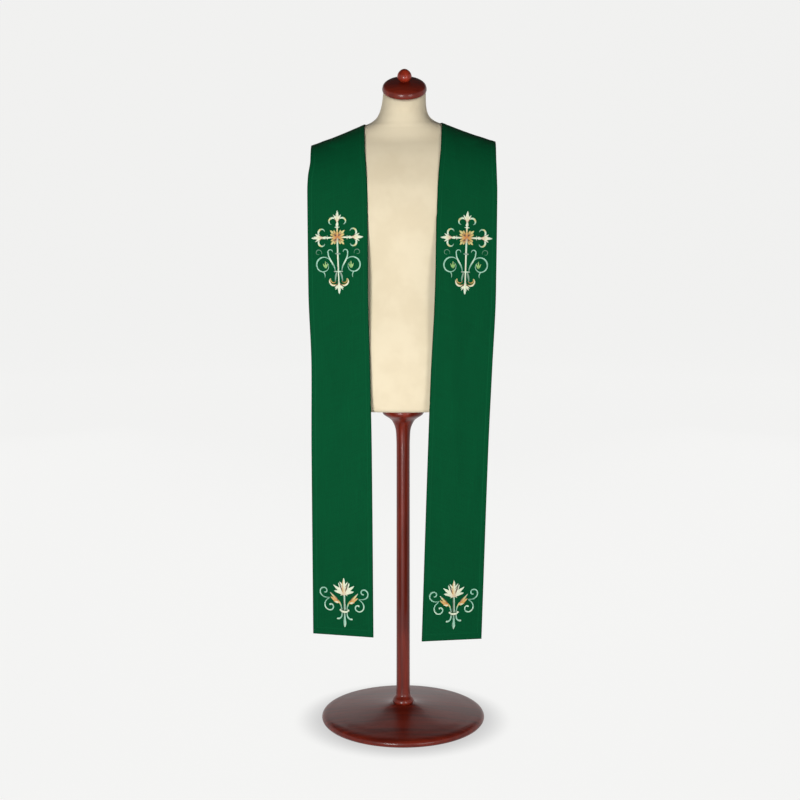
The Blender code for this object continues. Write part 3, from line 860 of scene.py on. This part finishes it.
# A lily over a tie of scrolls: mm from the middle of the tie
def lilyDesign():
    both = petals((1, 43), (64, 38, 12), (27, 30, 23), 4.4, "blush ivory ivory milk", 2)
    both += petals((3, 46), (70,), (24,), 1.6, "brown darkBrown olive", 6)
    both += petals((1, 58), (55,), (15,), 2.0, "cream ivory milk", 7)
    both += petals((0, 43), (-36,), (10,), 1.7, "blush cream milk", 3)
    # stem and leaf
    stem = swung((6, 3), (7, 14), (11, 22), (17, 27))
    both.append(stroke(stem, (1.2, 1.7, 1.4), "grey midMint straw gold", 1))
    both += petals((12, 19), (35,), (25,), 4.4, "gold gold peach straw", 2, left="orange")
    both += petals((15, 24), (48,), (27,), 3.0, "orange straw milk", 3, left="brown")
    # a cream patch near the leaf's base, a painted highlight
    both += petals((13, 20), (12,), (12,), 2.2, "cream ivory peach", 4)
    # scrolls, the upper one wound inwards to the left, the lower one to the right
    both.append(stroke(spiral((46, 46), (19.5, 2.5), (-130, 290), 0.55), (0.9, 1.3, 1.5, 1.5, 1.6),
                       "dullMint midMint mint mint midMint mint", 1))
    both.append(stroke(spiral((33, 11), (19.5, 3), (85, -320), 0.6), (0.9, 1.3, 1.5, 1.4, 2.0),
                       "midMint mint milk mint milk", 2))
    root = swung((6, -2), (5, -13), (10, -20), (18.5, -17.5))
    both.append(stroke(root, (1.1, 1.5, 1.7, 2.3), "grey mint mint milk", 1))
    both.append(stroke(straight((8, 2), (12, 2.4), -0.2), (1.0, 2.3, 0.9), "milk ivory milk", 6))
    single = [
        stroke(straight((0, 44), (0, 79)), (3.0, 3.9, 4.0, 3.0, 0.6),
               "blush cream ivory ivory milk", 8, "peach"),
        stroke(straight((0, 38), (0, 47)), (1.6, 4.4, 2.4), "blush blush cream", 5),
        stroke(straight((0, 40), (0, 2)), (2.2, 2.6), "mint grey dullMint", 2, "milk", "olive"),
        stroke(straight((-11, 2.5), (11, 2.5), 0.17), (1.2, 2.6, 1.2), "milk ivory ivory milk", 5),
        stroke(straight((0, -3), (0, -37.5)), (1.5, 2.0, 2.8, 3.7, 1.0),
               "grey mint mint milk", 2, None, "dullMint"),
    ]
    return {"scale": (1.0085, 1.036), "both": both, "single": single}


stitching = {
    "pitch": 0.42,  # mm from one stitch to the next
    "slant": 0.42,
    "relief": 0.34, "padding": 0.07, "tallest": 0.8,  # mm
    "layer": 0.13,
    "uneven": 0.075,
    "fewest": 6,  # stitches in a stroke
    "roundEnd": 0.35, "fullFrom": 0.5,  # mm: least rounding of an end, half width that stands full
    "dome": 0.8, "veinWidth": 0.2, "tinted": (0.15, 0.75),  # as shares of the half width
    "ragged": 0.07, "groove": 0.30,  # every second stitch is this share narrower and lower
    "vein": 0.30, "veinFrom": 2.3, "veinTo": 3.2,  # broad leaves dip along their middle
    "sunk": 0.06,  # mm that the underside lies in the cloth
    "across": (-1.0, -0.86, -0.5, 0.0, 0.5, 0.86, 1.0, 0.4, -0.4, -1.0),  # over the top, and back beneath
    "top": 7,  # of these are on top
}


def wayThrough(points, pitch):  # even steps along a smooth way
    fine = rounded(points, 24)
    far = distances(fine)
    at = np.linspace(0, far[-1], max(int(round(far[-1] / pitch)), stitching["fewest"]) + 1)
    return np.stack([np.interp(at, far, fine[:, axis]) for axis in (0, 1)], -1), at


def satin(part, mirrored, chance):
    # one stroke of satin stitch: a closed ribbon, domed over its padding, thread beside thread
    halves = part["halves"]
    way, at = wayThrough(part["way"], stitching["pitch"])
    share = at / at[-1]
    half = smoothThrough(share, np.linspace(0, 1, len(halves)), halves)
    for end, fromEnd in ((halves[0], at), (halves[-1], at[-1] - at)):
        near = np.clip(fromEnd / max(end, stitching["roundEnd"]), 0, 1)
        half = half * np.sqrt(1 - (1 - near) ** 2)
    heading = np.gradient(way, axis=0)
    heading = heading / np.linalg.norm(heading, axis=-1, keepdims=True)
    aside = np.stack([heading[:, 1], -heading[:, 0]], -1)  # to the right of the way
    proud = np.where(np.arange(len(at)) % 2 == 0, 1.0, 0.0)
    rows = half * (1 - stitching["ragged"] * (1 - proud))
    ends = np.minimum(half / stitching["fullFrom"], 1.0)
    tall = np.minimum(stitching["relief"] + stitching["padding"] * half, stitching["tallest"])
    tall = tall * ends * (1 - stitching["groove"] * (1 - proud))
    over = np.array(stitching["across"])[None, :]
    beneath = slice(stitching["top"], -1)
    broad = smoothStep(half, stitching["veinFrom"], stitching["veinTo"])[:, None]
    dome = np.sqrt(np.clip(1 - over**2, 0, 1)) ** stitching["dome"]
    dip = np.exp(-((over / stitching["veinWidth"]) ** 2))
    dome = dome * (1 - stitching["vein"] * dip * broad)
    dome[:, beneath] = 0.0
    lean = over * (1 - broad) - np.abs(over) * broad
    slant = stitching["slant"] * rows[:, None] * lean * ends[:, None]
    flat = way[:, None, :] + aside[:, None, :] * (rows[:, None] * over)[..., None]
    flat = flat + heading[:, None, :] * slant[..., None]
    lift = part["level"] * stitching["layer"] * ends
    height = dome * tall[:, None] + lift[:, None]
    height[:, beneath] = -stitching["sunk"]
    height[0] = height[-1] = 0.0
    flat[0] = way[0]
    flat[-1] = way[-1]
    stops = np.linspace(0, 1, len(part["threads"]))
    palette = np.array([threadColours[name][:3] for name in part["threads"]])
    tone = np.stack([np.interp(share, stops, channel) for channel in palette.T], -1)
    tone = np.repeat(tone[:, None, :], over.size, axis=1)
    # a stroke's side can be tinted another colour; on the cross's lower shaft this is painted shade
    for side, sign in (("left", -1.0), ("right", 1.0)):
        if part[side]:
            far = smoothStep(sign * over, *stitching["tinted"])[..., None]
            tone = tone * (1 - far) + np.array(threadColours[part[side]][:3]) * far
    tone = tone * (1 + stitching["uneven"] * chance.standard_normal((len(at), 1, 1)))
    maps = (at[:, None] / 1000, over * rows[:, None] / 1000)
    if mirrored:
        flat[..., 0] = -flat[..., 0]
    return flat, height, np.clip(tone, 0, 1), maps


# Where each motif lies: its middle, how its arms tilt, and how it leans above and below the middle
motifs = {
    "crossRight": {"on": "stoleRight", "design": crossDesign(), "middle": (-0.1512, 1.1888), "tilt": 0.0387,
                   "lean": (-0.001, -0.0336), "seed": 3},
    "crossLeft": {"on": "stoleLeft", "design": crossDesign(), "middle": (0.1454, 1.1877), "tilt": -0.0405,
                  "lean": (0.036, 0.026), "seed": 4},
    "lilyRight": {"on": "stoleRight", "design": lilyDesign(), "middle": (-0.1396, 0.3026), "tilt": 0.0,
                  "lean": (-0.0227, -0.0227), "seed": 5},
    "lilyLeft": {"on": "stoleLeft", "design": lilyDesign(), "middle": (0.1200, 0.2990), "tilt": 0.0,
                 "lean": (0.0033, 0.0033), "seed": 6},
}


def sew(name, motif):
    ground = stoles[motif["on"]][0]
    pick(ground)
    tree = BVHTree.FromObject(ground, bpy.context.evaluated_depsgraph_get())
    chance = np.random.default_rng(motif["seed"])
    across, up = motif["design"]["scale"]
    middleX, middleZ = motif["middle"]
    pieces = []
    for part, mirrored in strokesOf(motif["design"]):
        flat, height, tone, maps = satin(part, mirrored, chance)
        a, b = flat[..., 0] / 1000, flat[..., 1] / 1000
        leaning = np.where(b > 0, *motif["lean"])
        x = middleX + a * across + b * up * leaning
        z = middleZ + b * up + a * motif["tilt"]
        points = np.empty((*x.shape, 3))
        for place in np.ndindex(x.shape):
            hit, normal, _, _ = tree.ray_cast(Vector((x[place], -0.5, z[place])), Vector((0.0, 1.0, 0.0)))
            points[place] = hit + normal * (height[place] / 1000)
        piece = sheetOf(name, points)
        giveMap(piece, "stitches", *maps)
        shade = piece.data.color_attributes.new("thread", "FLOAT_COLOR", "POINT")
        colours = np.concatenate([tone, np.ones((*tone.shape[:2], 1))], -1)
        shade.data.foreach_set("color", colours.reshape(-1).astype(np.float32))
        pieces.append(piece)
    motifPiece = pieces[0]
    pick(motifPiece)
    for piece in pieces:
        piece.select_set(True)
    bpy.ops.object.join()
    bpy.ops.object.mode_set(mode="EDIT")
    mend(0.000002)
    bpy.ops.object.shade_smooth_by_angle(angle=radians(75))
    wear(motifPiece, threadFinish)
    print(name, "faces", len(motifPiece.data.polygons))
    return motifPiece


threadFinish = makeThread()
sewn = {name: sew(name, motif) for name, motif in motifs.items()}
for name, (piece, area) in stoles.items():
    sewnOn = [sewn[motif] for motif in motifs if motifs[motif]["on"] == name]
print("embroidery made")


studio = {
    "level": 6.5, "bend": 2.5, "top": 5.0,  # the floor is level out to here, then sweeps up in a bend
    "floor": (0.13, 0.13, 0.13, 1.0),
    "glow": ((1.0, 1.0, 0.99, 1.0), 0.86),  # the sweep glows by itself, as if lit from behind, so that it stays even
    "shade": (0.66, 0.66, 0.66, 1.0),  # soft shadow on the floor, between these distances from the pole
    "underFoot": (0.175, 0.275),
    "sky": ((1.0, 1.0, 0.99, 1.0), 0.07),
    "spread": radians(75),  # narrow enough to leave the floor by a lamp alone
    # place, how far it looks down, focal length as a share of the frame's width, shift
    "camera": ((0.0, -3.6, 1.35), radians(8.73), 1521.7 / 800, -0.0039375),
    # place, where it looks, size, power
    "lamps": (
        ((-1.0, -3.4, 0.55), (0.0, 0.0, 0.86), 1.0, 18.5),  # low in front, a little to the left
        ((1.9, -3.3, 0.65), (0.0, 0.0, 0.86), 1.4, 8.3),
        ((-2.4, 3.9, 1.10), (0.0, 0.0, 1.0), 2.0, 16.0),  # low from behind, for the back
        ((2.4, 3.9, 1.10), (0.0, 0.0, 1.0), 2.0, 16.0),
    ),
}


def makeStudio():
    level, bend = studio["level"], studio["bend"]
    way = [(0.0, 0.0), (level, 0.0)]
    way += [(level + bend * sin(turn), bend * (1 - cos(turn))) for turn in np.linspace(0, pi / 2, 14)[1:]]
    way.append((level + bend, studio["top"]))
    floor = turnedRound("studioFloor", way, 96, merge=0.0001, inside=True)
    bpy.ops.object.shade_smooth()
    glow, strength = studio["glow"]
    paint = Finish("pale_floor", Roughness=0.9, Specular_IOR_Level=0.1, Base_Color=studio["floor"])
    x, y, _ = paint.ends(paint.place())
    inner, outer = studio["underFoot"]
    # painted soft shadow round the foot: the floor's glow is darker near the pole
    away = (x * x + y * y).soft(inner**2, outer**2)
    paint.drive(Emission_Color=paint.blend(away, studio["shade"], glow), Emission_Strength=strength)
    floor.data.materials.append(paint.material)
    floor.visible_diffuse = False  # it lights nothing but itself
    world = bpy.data.worlds.new("studio")
    world.use_nodes = True
    backdrop = world.node_tree.nodes["Background"]
    backdrop.inputs["Color"].default_value = studio["sky"][0]
    backdrop.inputs["Strength"].default_value = studio["sky"][1]
    bpy.context.scene.world = world
    bpy.context.scene.view_settings.view_transform = "Standard"
    for number, (place, target, size, power) in enumerate(studio["lamps"]):
        bpy.ops.object.light_add(type="AREA", location=place)
        lamp = bpy.context.active_object
        lamp.name = "softbox%d" % number
        lamp.data.size = size
        lamp.data.energy = power
        lamp.data.spread = studio["spread"]
        lamp.visible_camera = False
        lamp.visible_glossy = place[1] < 0  # the back lights leave no glints on the wood's rims
        lamp.rotation_euler = (Vector(target) - Vector(place)).to_track_quat("-Z", "Y").to_euler()
    place, down, share, shift = studio["camera"]
    bpy.ops.object.camera_add(location=place, rotation=(radians(90) - down, 0.0, 0.0))
    camera = bpy.context.active_object
    camera.data.lens = camera.data.sensor_width * share
    camera.data.shift_x = shift
    bpy.context.scene.camera = camera


makeStudio()
print("studio made")
